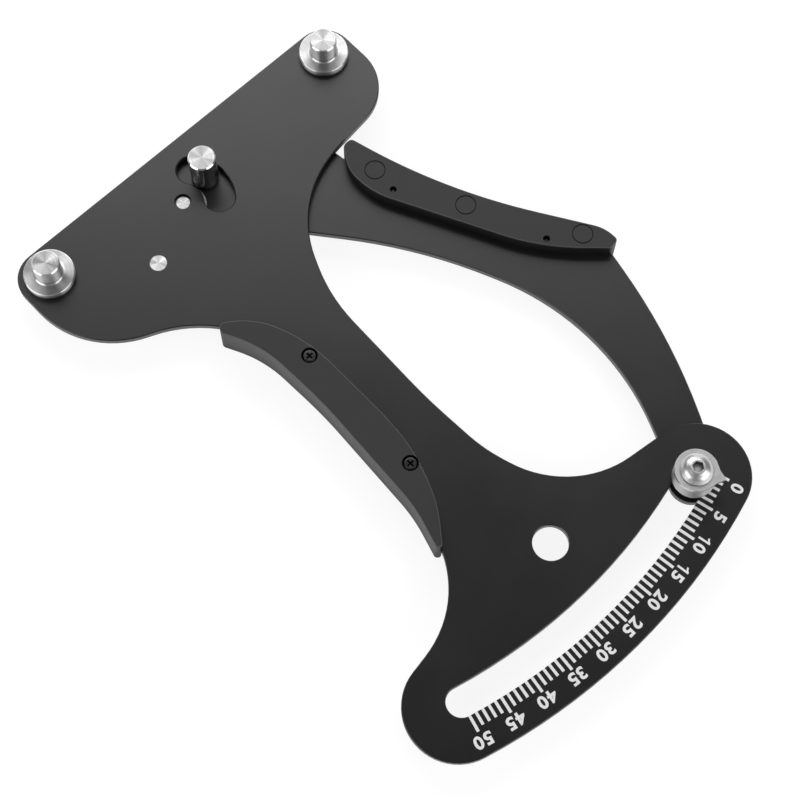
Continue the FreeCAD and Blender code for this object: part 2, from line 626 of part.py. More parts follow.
def make_return_spring(doc):
    """The extension spring: its coil as one closed cylinder, with a flat eye round each pin."""
    across, along = "(lever_pin_x - anchor_x)", "(lever_pin_y - anchor_y)"
    length = f"sqrt({across} ^ 2 + {along} ^ 2)"
    body = new_body(doc, "return_spring", "anchor_x", "anchor_y", "-spring_depth",
                    turn=f"atan2({along}; {across})")
    coil = new_sketch(body)
    rectangle(coil, "spring_hook", f"{length} - spring_hook", "0", "spring_radius")
    feature = body.newObject("PartDesign::Revolution", "return_spring_turned")
    feature.Profile = coil
    feature.ReferenceAxis = (coil, ["H_Axis"])
    feature.Angle = 360
    eye = "pin_groove_radius + spring_clearance"
    for middle, reach in (("0", "spring_hook"), (length, f"{length} - spring_hook")):
        eyes = new_sketch(body)
        circle(eyes, middle, "0", f"{eye} + spring_wire")
        pad(body, eyes, "spring_wire", both_ways=True)
        neck = new_sketch(body)
        side = "+" if middle == "0" else "-"
        rectangle(neck, f"{middle} {side} ({eye} + spring_wire / 2)", f"{reach} {side} spring_wire",
                  "-spring_wire / 2", "spring_wire / 2")
        pad(body, neck, "spring_wire", both_ways=True)
        holes(body, [(middle, "0")], eye, "spring_wire", "2 * spring_wire")
    return body


# ---------------------------------------------------------------- grips

def main_grip_outline():
    """Corners of the main grip: round the palm on the left, along the neck on the right."""
    def from_neck(name, corner):
        depths = {"top": "neck_left_top_depth", "low": "(scale_radius - neck_left_low_height)"}
        return (f"-(neck_left_{corner}_x + main_{name}_out)", f"-({depths[corner]} + main_{name}_drop)",
                f"main_{name}_round")
    return [
        from_neck("nose", "top"), from_neck("brow", "top"), from_neck("palm", "top"),
        from_neck("middle", "top"), from_neck("flare", "low"), from_neck("heel", "low"),
        from_neck("toe", "low"),
        ("-main_inner_low_x", "-(scale_radius - main_inner_low_height)", "main_inner_low_round"),
        ("-main_inner_x", "-(scale_radius - main_inner_base_height)", "main_inner_base_round"),
        ("-main_inner_x", "-main_inner_top_depth", "main_inner_top_round"),
        ("-main_inner_nose_x", "-main_inner_nose_depth", "main_inner_nose_round"),
    ]


def lever_grip_outline():
    """Corners of the lever grip: along the arm on the left, round the fingers on the right."""
    top_x, mid_x = "arm_outer_top_x", "arm_outer_mid_x"
    top, mid = "arm_outer_top_depth", "arm_outer_mid_depth"
    return [
        (f"{top_x} + lever_nose_out", f"-({top} - lever_nose_rise)", "lever_nose_round"),
        (f"{top_x} + lever_brow_out", f"-({top} - lever_nose_rise)", "lever_brow_round"),
        (f"{top_x} - lever_inner_in", f"-({top} + lever_inner_drop)", "lever_inner_round"),
        (f"{top_x} - lever_inner_in", f"-({top} + lever_inner_base_drop)", "lever_inner_base_round"),
        (f"{mid_x} - lever_bow_in", f"-({mid} - lever_bow_rise)", "lever_bow_round"),
        (f"{mid_x} - lever_toe_in", f"-({mid} + lever_toe_drop)", "lever_toe_round"),
        (f"{mid_x} + lever_heel_out", f"-({mid} + lever_heel_drop)", "lever_heel_round"),
        (f"{mid_x} + lever_heel_out", f"-({mid} - lever_flare_rise)", "lever_flare_round"),
        (f"{top_x} + lever_palm_out", f"-({top} + lever_palm_drop)", "lever_palm_round"),
    ]


def plate_room(edge, way):
    """The room that a plate takes up in its grip: its edge moved out by the seat, closed at x = 0."""
    moved = [(f"{x} {way} grip_seat", f"{y} {way} grip_seat", size) for x, y, size in edge]
    moved[0] = moved[0][:2]
    moved[-1] = moved[-1][:2]
    return moved + [("0", moved[-1][1]), ("0", moved[0][1])]


def make_grip_shell(doc, name, face, thickness, corners, room, front):
    """One half of a grip: it wraps the plate's edge and meets the other half mid-plate."""
    body = new_body(doc, name, z=face)
    parting = f"-{thickness} / 2"
    seat = "0" if front else f"-{thickness}"
    skin = "grip_height" if front else f"-({thickness} + grip_height)"
    sketch = new_sketch(body, parting)
    outline(sketch, corners)
    pad(body, sketch, f"{thickness} / 2 + grip_height", down=not front)
    dress(body, "Fillet", "grip_round", [skin])
    rebate = new_sketch(body, seat)
    outline(rebate, room)
    pocket(body, rebate, f"{thickness}", up=not front)
    return body


def cut_screw_heads(body, spots, radius, skin, up=False):
    """Recesses for the screw heads, with a clear hole on through the shell."""
    holes(body, spots, radius, skin, "grip_screw_recess", up)
    holes(body, spots, "grip_screw_radius + press_clearance", skin, None, up)


def make_main_grip(doc):
    """The two shells of the fixed grip, screwed together from the front."""
    room = plate_room(NECK_LEFT, "-")
    front = make_grip_shell(doc, "main_grip_front", "0", "plate_thickness", main_grip_outline(), room, True)
    back = make_grip_shell(doc, "main_grip_back", "0", "plate_thickness", main_grip_outline(), room, False)
    cut_screw_heads(front, MAIN_GRIP_SCREWS, "grip_screw_recess_radius", "grip_height")
    holes(back, MAIN_GRIP_SCREWS, "grip_screw_radius + press_clearance", "-plate_thickness / 2",
          "plate_thickness / 2 + grip_height - grip_screw_tip")
    return [front, back]


def make_lever_grip(doc):
    """The two shells of the moving grip, screwed together from the back."""
    room = plate_room(ARM_OUTER, "+")
    corners = lever_grip_outline()
    front = make_grip_shell(doc, "lever_grip_front", LEVER_FACE, "lever_thickness", corners, room, True)
    back = make_grip_shell(doc, "lever_grip_back", LEVER_FACE, "lever_thickness", corners, room, False)
    holes(front, LEVER_GRIP_SCREWS, "grip_tip_hole_radius", "grip_height")
    holes(front, LEVER_GRIP_SCREWS, "grip_screw_radius + press_clearance", "grip_height - grip_screw_tip")
    marks = new_sketch(front, "grip_height")
    for x, y in MARKS:
        circle(marks, x, y, "mark_radius")
        circle(marks, x, y, "mark_radius - mark_groove")
    pocket(front, marks, "mark_depth")
    cut_screw_heads(back, LEVER_GRIP_SCREWS, "lever_screw_recess_radius",
                    "-(lever_thickness + grip_height)", up=True)
    return [front, back]


def make_grip_screw(doc, name, x, y, face, head_up, thickness, radius):
    """A small pan-head screw with a cross recess, head to the front or to the back."""
    seat = "grip_height - grip_screw_recess"
    shank = f"{thickness} + 2 * grip_height - grip_screw_recess - grip_screw_tip"
    if head_up:
        body = new_body(doc, name, x, y, f"{face} + {seat}")
        head, end = "grip_screw_head_height", f"-({shank})"
    else:
        body = new_body(doc, name, x, y, f"{face} - {thickness} - ({seat})")
        head, end = "-grip_screw_head_height", shank
    turned(body, [("0", end), ("grip_screw_radius", end), ("grip_screw_radius", "0"),
                  (radius, "0"), (radius, head), ("0", head)])
    dress(body, "Fillet", "grip_screw_head_height / 2", [head])
    arm, half = f"{radius} * 0.55", f"{radius} * 0.13"
    cross = new_sketch(body, head)
    polygon(cross, [(arm, f"-{half}"), (arm, half), (half, half), (half, arm), (f"-{half}", arm),
                    (f"-{half}", half), (f"-{arm}", half), (f"-{arm}", f"-{half}"), (f"-{half}", f"-{half}"),
                    (f"-{half}", f"-{arm}"), (half, f"-{arm}"), (half, f"-{half}")])
    pocket(body, cross, "grip_screw_head_height * 0.7", up=not head_up)
    return body


def make_grip_screws(doc, name, spots, face, head_up, thickness, radius):
    """The grip's two screws as one group of separate solids."""
    screws = [make_grip_screw(doc, f"{name}_{place}", x, y, face, head_up, thickness, radius)
              for place, (x, y) in zip(("top", "low"), spots)]
    group = doc.addObject("Part::Compound", name)
    group.Label = name
    group.Links = screws
    return group


# ---------------------------------------------------------------- pointer

def make_pointer_spacer(doc):
    """The turned spacer: its neck slides in the scale slot, its flange lifts the pointer."""
    body = new_body(doc, "pointer_spacer", POINTER_X, POINTER_Y)
    bore = "pointer_screw_radius + pointer_screw_clearance"
    turned(body, [(bore, LEVER_FACE), ("spacer_neck_radius", LEVER_FACE), ("spacer_neck_radius", "spacer_lift"),
                  ("spacer_radius", "spacer_lift"), ("spacer_radius", "pointer_underside"),
                  (bore, "pointer_underside")])
    dress(body, "Chamfer", "edge_break", ["pointer_underside", "spacer_lift"], "spacer_radius")
    return body


def make_pointer(doc):
    """The flat teardrop pointer; its own X axis runs from the screw to the tip."""
    body = new_body(doc, "pointer", POINTER_X, POINTER_Y, "pointer_underside", turn="pointer_angle * 1 deg")
    sketch = new_sketch(body)
    outline(sketch, [
        ("0", "0", "pointer_disc_radius", "disc"),
        ("pointer_flank_x", "-pointer_flank_y", "pointer_flank_round"),
        ("pointer_reach", "0", "pointer_tip_round"),
        ("pointer_flank_x", "pointer_flank_y", "pointer_flank_round"),
    ])
    pad(body, sketch, "pointer_thickness")
    holes(body, [("0", "0")], "pointer_screw_radius + pointer_screw_clearance", "pointer_thickness")
    return body


def make_pointer_screw(doc):
    """The button-head screw that clamps pointer, spacer and lever together."""
    body = new_body(doc, "pointer_screw", POINTER_X, POINTER_Y, "pointer_underside + pointer_thickness")
    end = f"{LEVER_BACK} - nut_height - screw_end - pointer_underside - pointer_thickness"
    shoulder = "button_crown + (button_radius - button_crown) * 0.6"
    shoulder_height = "button_rim + (button_height - button_rim) * 0.63"
    turned(body, [("0", end), ("pointer_screw_radius", end), ("pointer_screw_radius", "0"),
                  ("button_radius", "0"), ("button_radius", "button_rim"), (shoulder, shoulder_height),
                  ("button_crown", "button_height"), ("0", "button_height")])
    dress(body, "Fillet", "button_height", [shoulder_height])
    dress(body, "Fillet", "button_edge_round", ["button_rim", "button_height"])
    socket = new_sketch(body, "button_height")
    hexagon(socket, "button_socket")
    pocket(body, socket, "button_socket_depth")
    return body


def make_pointer_nut(doc):
    body = new_body(doc, "pointer_nut", POINTER_X, POINTER_Y, LEVER_BACK)
    sketch = new_sketch(body)
    hexagon(sketch, "nut_across_flats")
    circle(sketch, "0", "0", "pointer_screw_radius + press_clearance")
    pad(body, sketch, "nut_height", down=True)
    return body


def make_slide_washer(doc):
    """The slippery washer round the spacer's neck, between the lever's end and the tail."""
    return ring(doc, "slide_washer", "slide_washer_radius", "spacer_neck_radius + slide_washer_clearance",
                "plate_gap - 2 * face_clearance", POINTER_X, POINTER_Y, "-(plate_thickness + face_clearance)")


# ---------------------------------------------------------------- the whole tool

def make_pieces(doc):
    """Every piece that is written out."""
    fixed_seat = "-plate_thickness"
    return [
        make_main_plate(doc),
        make_lever_plate(doc),
        make_fixed_post(doc, "left_post", "left_post_x"),
        make_fixed_post(doc, "right_post", RIGHT_POST_X),
        make_moving_post(doc),
        make_post_screw(doc, "left_post_screw", "left_post_x", "post_line_y", fixed_seat, "plate_thickness"),
        make_post_screw(doc, "right_post_screw", RIGHT_POST_X, "post_line_y", fixed_seat, "plate_thickness"),
        make_post_screw(doc, "moving_post_screw", MOVING_POST_X, MOVING_POST_Y, LEVER_BACK, "lever_thickness"),
        make_pivot_pin(doc),
        *make_pivot_washers(doc),
        make_pivot_clip(doc),
        make_spring_pin(doc, "spring_anchor_pin", "anchor_x", "anchor_y", "0", "anchor_radius",
                        "plate_thickness", "spring_depth"),
        make_spring_pin(doc, "lever_spring_pin", "lever_pin_x", "lever_pin_y", LEVER_FACE,
                        "lever_pin_radius", "lever_thickness", "(spring_depth - plate_thickness - plate_gap)"),
        make_return_spring(doc),
        *make_main_grip(doc),
        make_grip_screws(doc, "main_grip_screws", MAIN_GRIP_SCREWS, "0", True, "plate_thickness",
                         "grip_screw_head_radius"),
        *make_lever_grip(doc),
        make_grip_screws(doc, "lever_grip_screws", LEVER_GRIP_SCREWS, LEVER_FACE, False, "lever_thickness",
                         "lever_screw_head_radius"),
        make_pointer_spacer(doc),
        make_pointer(doc),
        make_pointer_screw(doc),
        make_pointer_nut(doc),
        make_slide_washer(doc),
    ]


def stand_on_origin(doc, sheet, pieces):
    """Move the layout so that the tool stands on Z = 0, its footprint's centre at the origin."""
    box = FreeCAD.BoundBox()
    for piece in pieces:
        box.add(piece.Shape.BoundBox)
    for name, shift in zip(FRAME, (-box.Center.x, -box.Center.y, -box.ZMin)):
        sheet.set(sheet.getCellFromAlias(name), str(shift))
    doc.recompute()


def check(doc, pieces):
    """Stop if any object of the document failed or any piece has no sound shape."""
    failed = [item.Name for item in doc.Objects if {"Invalid", "Error"} & set(item.State)]
    unsound = [piece.Label for piece in pieces if piece.Shape.isNull() or not piece.Shape.isValid()]
    if failed or unsound:
        raise RuntimeError(f"failed objects {failed}, unsound pieces {unsound}")


def main():
    doc = FreeCAD.newDocument("spoke_tension_meter")
    sheet = make_sheet(doc)
    pieces = make_pieces(doc)
    doc.recompute()
    check(doc, pieces)
    stand_on_origin(doc, sheet, pieces)
    check(doc, pieces)
    os.makedirs("parts", exist_ok=True)
    for piece in pieces:
        piece.Shape.exportStep(f"parts/{piece.Label}.step")
        print(piece.Label, len(piece.Shape.Solids), "solid(s),", round(piece.Shape.Volume, 1), "mm3")


main()
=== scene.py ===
import json
import math

import bpy
from mathutils import Matrix, Vector


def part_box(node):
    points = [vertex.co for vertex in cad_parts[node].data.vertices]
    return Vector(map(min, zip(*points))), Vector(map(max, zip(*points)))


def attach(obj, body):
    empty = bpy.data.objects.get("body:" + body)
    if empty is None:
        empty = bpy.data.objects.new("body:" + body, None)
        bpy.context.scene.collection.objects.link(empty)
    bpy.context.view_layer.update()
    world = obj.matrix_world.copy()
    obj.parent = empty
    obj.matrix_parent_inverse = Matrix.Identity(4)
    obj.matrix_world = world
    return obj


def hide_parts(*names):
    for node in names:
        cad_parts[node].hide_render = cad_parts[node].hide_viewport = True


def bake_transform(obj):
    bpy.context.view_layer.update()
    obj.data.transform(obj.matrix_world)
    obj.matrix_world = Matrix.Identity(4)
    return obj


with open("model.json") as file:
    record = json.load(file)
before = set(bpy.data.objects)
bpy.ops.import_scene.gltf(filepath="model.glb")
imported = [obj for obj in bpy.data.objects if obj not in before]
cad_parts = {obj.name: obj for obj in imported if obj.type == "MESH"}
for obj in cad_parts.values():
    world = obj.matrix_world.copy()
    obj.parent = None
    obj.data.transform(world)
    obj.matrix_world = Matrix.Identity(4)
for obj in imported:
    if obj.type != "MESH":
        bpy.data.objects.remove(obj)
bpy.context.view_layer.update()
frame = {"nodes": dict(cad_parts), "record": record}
NODES = frame["nodes"]
MM = 0.001

# The tool's own axes: the pivot is the origin and the main plate's front face is z = 0, in mm.
PIVOT = (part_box("pivot_washer")[0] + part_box("pivot_washer")[1]) / 2
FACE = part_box("main_plate")[1].z


def at(x, y, z=0.0):
    """Where a point of the tool, given in mm in its own axes, lies in the row frame, in metres."""
    return Vector((PIVOT.x + x * MM, PIVOT.y + y * MM, FACE + z * MM))


# ------------------------------------------------------------------ camera

AIM = at(3.418, -90.262)
DISTANCE = 532.614 * MM
ELEVATION, HEADING, ROLL = (math.radians(a) for a in (68.7988, 45.1613, -1.41547))
LENS, SENSOR = 83.887, 36.0
CLIP_NEAR, CLIP_FAR = 0.01, 20.0


def add_camera():
    """A camera that looks down on AIM at ELEVATION from DISTANCE, in the direction HEADING from +X."""
    away = Vector((math.cos(HEADING), math.sin(HEADING), 0))
    side = Vector((math.sin(HEADING), -math.cos(HEADING), 0))
    forward = away * math.cos(ELEVATION) - Vector((0, 0, math.sin(ELEVATION)))
    rise = away * math.sin(ELEVATION) + Vector((0, 0, math.cos(ELEVATION)))
    right = side * math.cos(ROLL) - rise * math.sin(ROLL)
    up = side * math.sin(ROLL) + rise * math.cos(ROLL)
    data = bpy.data.cameras.new("camera")
    data.lens, data.sensor_width, data.sensor_fit = LENS, SENSOR, "AUTO"
    data.clip_start, data.clip_end = CLIP_NEAR, CLIP_FAR
    camera = bpy.data.objects.new("camera", data)
    bpy.context.scene.collection.objects.link(camera)
    turn = Matrix((right, up, -forward)).transposed()
    camera.matrix_world = Matrix.Translation(AIM - forward * DISTANCE) @ turn.to_4x4()
    bpy.context.scene.camera = camera


# ------------------------------------------------------------------ nodes

# Most of a noise lies between these two.
NOISE_LOW, NOISE_HIGH = 0.3, 0.7
# The lean of a face's normal: up to WALL it is an upright face, and from LEVEL up a level one. A rounded
# edge's lies from EDGE_LOW to EDGE_HIGH, and fully between the two in the middle.
WALL, LEVEL = 0.60, 0.90
EDGE_LOW, EDGE_FULL_LOW, EDGE_FULL_HIGH, EDGE_HIGH = 0.10, 0.40, 0.94, 0.99
# Ambient occlusion from here up counts as open.
OPEN_SKY = 0.9
OCCLUSION_SAMPLES = 8


class Graph:
    """A material's node tree, written as nested calls."""

    def __init__(self, name):
        self.material = bpy.data.materials.new(name)
        self.material.use_nodes = True
        self.tree = self.material.node_tree
        self.tree.nodes.clear()
        self.output = self.tree.nodes.new("ShaderNodeOutputMaterial")

    def put(self, socket, value):
        if isinstance(value, bpy.types.NodeSocket):
            self.tree.links.new(value, socket)
        elif socket.type == "RGBA":
            socket.default_value = (*value, 1)
        else:
            socket.default_value = value

    def add(self, kind, inputs=None, **settings):
        node = self.tree.nodes.new("ShaderNode" + kind)
        for key, value in settings.items():
            setattr(node, key, value)
        for key, value in (inputs or {}).items():
            self.put(node.inputs[key], value)
        return node

    def math(self, operation, a, b=0.0):
        return self.add("Math", {0: a, 1: b}, operation=operation).outputs[0]

    def plus(self, a, b):
        return self.math("ADD", a, b)

    def times(self, a, b):
        return self.math("MULTIPLY", a, b)

    def flip(self, value):
        return self.math("SUBTRACT", 1.0, value)

    def vector(self, operation, a, b=(0, 0, 0)):
        return self.add("VectorMath", {0: a, 1: b}, operation=operation).outputs[0]

    def place(self, kind="Object"):
        return self.add("TexCoord").outputs[kind]

    def part(self, vector, axis):
        return self.add("SeparateXYZ", {0: vector}).outputs[axis]

    def noise(self, where, scale, detail, roughness=0.5):
        inputs = {"Vector": where, "Scale": scale, "Detail": detail, "Roughness": roughness}
        return self.add("TexNoise", inputs).outputs["Fac"]

    def span(self, value, low, high, start=NOISE_LOW, stop=NOISE_HIGH):
        """The value from start to stop, spread from low to high and held there outside."""
        inputs = {"Value": value, "From Min": start, "From Max": stop, "To Min": low, "To Max": high}
        return self.add("MapRange", inputs).outputs["Result"]

    def tint(self, factor, start, stop):
        """The colour start where the factor is 0, and stop where it is 1."""
        return self.add("Mix", {0: factor, 6: start, 7: stop}, data_type="RGBA").outputs[2]

    def bump(self, height, depth, strength):
        """A normal bent by the height, whose full range is depth in mm."""
        inputs = {"Height": height, "Distance": depth * MM, "Strength": strength}
        return self.add("Bump", inputs).outputs["Normal"]

    def lean(self):
        """How far the face's normal leans up or down: 1 on level faces, 0 on walls."""
        return self.math("ABSOLUTE", self.part(self.place("Normal"), "Z"))

    def upright(self):
        """1 on faces that stand upright, 0 on level ones."""
        return self.span(self.lean(), 1, 0, WALL, LEVEL)

    def rounded(self):
        """1 on rounded edges between level and upright faces, 0 on both."""
        lean = self.lean()
        return self.times(self.span(lean, 1, 0, EDGE_FULL_HIGH, EDGE_HIGH),
                          self.span(lean, 0, 1, EDGE_LOW, EDGE_FULL_LOW))

    def open_sky(self, reach, closed):
        """0 in a crevice whose occlusion is at closed or less, 1 in the open; reach in mm."""
        node = self.add("AmbientOcclusion", {"Distance": reach * MM}, samples=OCCLUSION_SAMPLES)
        return self.span(node.outputs["AO"], 0, 1, closed, OPEN_SKY)

    def finish(self, **inputs):
        """The material, its surface a Principled shader with these inputs, _ standing for a space."""
        names = {key.replace("_", " "): value for key, value in inputs.items()}
        shader = self.add("BsdfPrincipled", names)
        self.put(self.output.inputs["Surface"], shader.outputs[0])
        return self.material


def grey(level, blue=0.0):
    """A grey, its blue raised by that share."""
    return (level, level, level * (1 + blue))


# ------------------------------------------------------------------ materials

PAINT_GRAIN = {"scale": 2600, "detail": 3, "roughness": 0.6}


def plate_paint():
    """Satin black paint with a fine powder grain, darkest on broken edges; its open upright walls are
    paler with a painted reflection.
    """
    g = Graph("plate_paint")
    where = g.place()
    cloud = g.noise(where, 45, 3)
    grain = g.noise(where, **PAINT_GRAIN)
    tone = g.tint(g.span(cloud, 0, 1), grey(0.0030, 0.03), grey(0.0045, 0.03))
    tone = g.tint(g.span(grain, 0, 0.5, 0.5, 0.9), tone, grey(0.015, 0.03))
    # Painted reflection: upright walls open to the sky are paler, as if they reflected the white floor;
    # hemmed-in walls keep the paint's tone.
    painted_wall_reflection = g.times(g.upright(), g.open_sky(4, 0.75))
    tone = g.tint(painted_wall_reflection, tone, grey(0.026, 0.02))
    tone = g.tint(g.rounded(), tone, grey(0.002))
    rough = g.plus(g.span(cloud, 0.33, 0.38), g.span(grain, -0.03, 0.03))
    normal = g.bump(grain, 0.010, 0.7)
    return g.finish(Base_Color=tone, Roughness=rough, Specular_IOR_Level=0.70, Normal=normal)


def grip_plastic():
    """Matte moulded plastic with a spark-eroded grain, glossier on its open rounded edges, with painted
    light and shade on its walls and edges and painted shade in crevices.
    """
    g = Graph("grip_plastic")
    where = g.place()
    cloud = g.noise(where, 60, 2)
    grain = g.noise(where, 3400, 2, 0.6)
    tone = g.tint(g.span(cloud, 0, 1), grey(0.0260, 0.02), grey(0.0305, 0.02))
    rough = g.plus(g.span(cloud, 0.56, 0.62), g.span(grain, -0.05, 0.05))
    glossy_edge_painted_highlight, wall, lit = g.rounded(), g.upright(), g.open_sky(14, 0.68)
    rough = g.math("SUBTRACT", rough, g.times(g.times(glossy_edge_painted_highlight, lit), 0.24))
    # Painted bounce light on upright walls open to the sky, and painted shade on walls that are hemmed
    # in.
    tone = g.tint(wall, tone, g.tint(lit, grey(0.003, 0.02), grey(0.068, 0.02)))
    # Painted highlight on open rounded edges, and painted shade on rounded edges that are hemmed in.
    tone = g.tint(glossy_edge_painted_highlight, tone, g.tint(lit, grey(0.010, 0.02), grey(0.095, 0.02)))
    # Painted shade in crevices and holes.
    tone = g.tint(g.open_sky(2.0, 0.6), grey(0.001), tone)
    normal = g.bump(grain, 0.016, 0.8)
    return g.finish(Base_Color=tone, Roughness=rough, Specular_IOR_Level=0.45, Normal=normal)


def turned_steel(name="turned_steel", base=0.70, side_rough=0.06):
    """Steel from a lathe: rings about the part's axis, a painted sunburst sheen on its ends, painted
    highlights on its broken edges and painted shade on its sides in recesses.

    base is its grey, and side_rough is how much rougher its sides are than its ends.
    """
    g = Graph(name)
    local = g.vector("SUBTRACT", g.place("Generated"), (0.5, 0.5, 0.5))
    flat = g.vector("MULTIPLY", local, (1, 1, 0))
    reach = g.add("VectorMath", {0: flat}, operation="LENGTH").outputs["Value"]
    side, edge = g.upright(), g.rounded()
    rise = g.times(g.part(local, "Z"), 0.4)
    ring = g.noise(g.add("CombineXYZ", {"X": reach, "Y": rise}).outputs[0], 34, 2, 0.7)
    # Painted sunburst sheen: brighter and darker sectors about the axis.
    painted_sunburst = g.noise(g.vector("NORMALIZE", flat), 1.7, 1, 0.4)
    tone = g.tint(g.span(painted_sunburst, 0, 1, 0.35, 0.65), grey(base * 0.76), grey(base * 1.16))
    tone = g.tint(g.span(ring, 0, 0.75, 0.42, 0.62), tone, grey(base * 0.80))
    # Painted shade on the sides where they stand in recesses.
    tone = g.tint(g.times(side, g.flip(g.open_sky(2.2, 0.5))), tone, grey(0.05))
    # Painted highlight on rounded edges.
    tone = g.tint(edge, tone, grey(base * 1.3))
    gloss = g.plus(g.span(ring, 0.39, 0.47), g.times(side, side_rough))
    gloss = g.math("SUBTRACT", gloss, g.times(edge, 0.15))
    deep = g.plus(0.2, g.times(side, 0.8))
    normal = g.bump(ring, 0.030, deep)
    tangent = g.add("Tangent", direction_type="RADIAL", axis="Z").outputs[0]
    return g.finish(Base_Color=tone, Metallic=1.0, Roughness=gloss, Anisotropic=0.92,
                    Anisotropic_Rotation=0.25, Normal=normal, Tangent=tangent)


def plain_steel(name, base, rough, grain_scale, bump_depth):
    """Bright metal with light rolling marks and fine pits."""
    g = Graph(name)
    where = g.place()
    drawn = g.noise(g.vector("MULTIPLY", where, (1, 6, 1)), grain_scale, 3, 0.6)
    cloud = g.noise(where, 260, 2)
    tone = g.tint(g.span(drawn, 0, 1), grey(base * 0.88), grey(base * 1.05, 0.01))
    gloss = g.plus(g.span(drawn, rough - 0.04, rough + 0.04), g.span(cloud, -0.04, 0.04))
    normal = g.bump(drawn, bump_depth, 0.5)
    return g.finish(Base_Color=tone, Metallic=1.0, Roughness=gloss, Normal=normal)


def bright_zinc():
    """Bright zinc plate, duller on level faces, with a faint cloudiness and tumbling marks, and painted
    shade in its recesses.
    """
    g = Graph("zinc_fasteners")
    where = g.place()
    cloud = g.noise(where, 420, 2)
    marks = g.noise(g.vector("MULTIPLY", where, (1, 4, 2)), 1900, 3, 0.6)
    tone = g.tint(g.span(cloud, 0, 1), (0.66, 0.665, 0.67), (0.74, 0.74, 0.74))
    # Painted shade in the socket and other recesses.
    tone = g.tint(g.open_sky(1.4, 0.35), grey(0.10), tone)
    level = g.flip(g.math("MAXIMUM", g.rounded(), g.upright()))
    gloss = g.plus(g.span(cloud, 0.33, 0.38), g.times(level, 0.12))
    gloss = g.plus(gloss, g.span(marks, -0.02, 0.03))
    return g.finish(Base_Color=tone, Metallic=1.0, Roughness=gloss,
                    Normal=g.bump(marks, 0.003, 0.5))


def black_screws():
    """Black oxide: dark, a little glossy, clouded with a paler brown, and near black with painted shade
    in its recess.
    """
    g = Graph("black_screws")
    where = g.place()
    cloud = g.noise(where, 900, 3)
    tone = g.tint(g.span(cloud, 0, 1), (0.042, 0.042, 0.042), (0.085, 0.083, 0.081))
    # Painted shade, near black, in the recess.
    tone = g.tint(g.open_sky(1.2, 0.5), grey(0.001), tone)
    return g.finish(Base_Color=tone, Metallic=0.6, Roughness=g.span(cloud, 0.22, 0.32),
                    Specular_IOR_Level=0.25, Normal=g.bump(cloud, 0.010, 0.5))


def slide_plastic():
    """Smooth black acetal with faint rubbing marks."""
    g = Graph("slide_plastic")
    where = g.place()
    cloud = g.noise(where, 700, 2)
    tone = g.tint(g.span(cloud, 0, 1), grey(0.007), grey(0.012))
    return g.finish(Base_Color=tone, Roughness=g.span(cloud, 0.30, 0.42), Specular_IOR_Level=0.4,
                    Normal=g.bump(cloud, 0.006, 0.5))


def print_ink():
    """Screen-printed white, slightly thin in places, with the paint's grain under it."""
    g = Graph("print_ink")
    where = g.place()
    grain = g.noise(where, **PAINT_GRAIN)
    cloud = g.noise(where, 500, 2)
    tone = g.tint(g.span(cloud, 0, 1), grey(0.90), grey(0.95))
    return g.finish(Base_Color=tone, Roughness=g.span(grain, 0.50, 0.62), Specular_IOR_Level=0.3,
                    Normal=g.bump(grain, 0.008, 0.6))


def dress_nodes():
    """Give each CAD node the material of its slot, or one of its own, and return the slots' materials."""
    finishes = {
        "plate_paint": plate_paint(),
        "grip_plastic": grip_plastic(),
        "turned_steel": turned_steel(),
        "sheet_steel": plain_steel("sheet_steel", 0.74, 0.46, 900, 0.006),
        "zinc_fasteners": bright_zinc(),
        "black_screws": black_screws(),
        "spring_steel": plain_steel("spring_steel", 0.60, 0.24, 1500, 0.004),
        "slide_plastic": slide_plastic(),
    }
    pin = turned_steel("pin_steel", 0.88)
    own = {
        "moving_post": turned_steel("ground_steel", side_rough=-0.25),
        "pivot_pin": pin,
        "spring_anchor_pin": pin,
    }
    for part in frame["record"]["subparts"]:
        node = NODES[part["node"]]
        node.data.materials.clear()
        node.data.materials.append(own.get(part["node"], finishes[part["material_slot"]]))
    return finishes


# ------------------------------------------------------------------ pieces

def new_piece(name, points, faces, material, body=None, smooth=False):
    """A mesh object of these points, in metres, that rides on the body and takes the slot, if given."""
    mesh = bpy.data.meshes.new(name)
    mesh.from_pydata([tuple(p) for p in points], [], faces)
    mesh.validate()
    mesh.polygons.foreach_set("use_smooth", [smooth] * len(mesh.polygons))
    mesh.materials.append(material)
    piece = bpy.data.objects.new(name, mesh)
    bpy.context.scene.collection.objects.link(piece)
    if body:
        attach(piece, body)
    return piece


# The scale: angles in degrees about the pivot, radii and sizes in mm.
DIVISIONS, MAJOR_EVERY = 50, 5
ZERO_ANGLE, DIVISION_ANGLE = -72.48, -0.6521
SLOT_EDGE, EDGE_BREAK = 174.92, 0.25
TICK_MINOR, TICK_MAJOR, TICK_WIDTH = 178.75, 179.80, 0.84
INK_LOW, INK_HIGH = -0.01, 0.03
# Where a tick runs down the edge's 45 degree break: how far its ink stands out from the break, how far
# its bend on top lies towards the slot, and how far its underside is sunk in the plate at both ends.
BREAK_LIFT, BEND_IN = INK_HIGH * 0.7, INK_HIGH * 0.4
FOOT_INSET, BEND_INSET = 0.01, 0.004

NUMERAL_HEIGHT, NUMERAL_BOLD, NUMERAL_STRETCH = 3.7, 0.034, 1.06
NUMERAL_RESOLUTION = 6
# A numeral stands at this radius in the scale's middle, and further out by this much for each square
# degree from there.
NUMERAL_RADIUS, NUMERAL_SAG, SCALE_MIDDLE = 182.03, 0.0024, -90.5
NUMERAL_ANGLES = {0: -72.83, 5: -75.95}  # these two don't stand at their division
# Shares of a digit's height: the gaps between digits, and the outline of the 1.
DIGIT_GAP, GAP_AFTER_ONE = 0.12, 0.27
DIGIT_ONE = ((0.26, 0), (0.42, 0), (0.42, 1), (0.29, 1), (0.18, 0.87),
             (0, 0.79), (0, 0.65), (0.14, 0.69), (0.26, 0.78))


def scale_angle(n):
    return ZERO_ANGLE + DIVISION_ANGLE * n


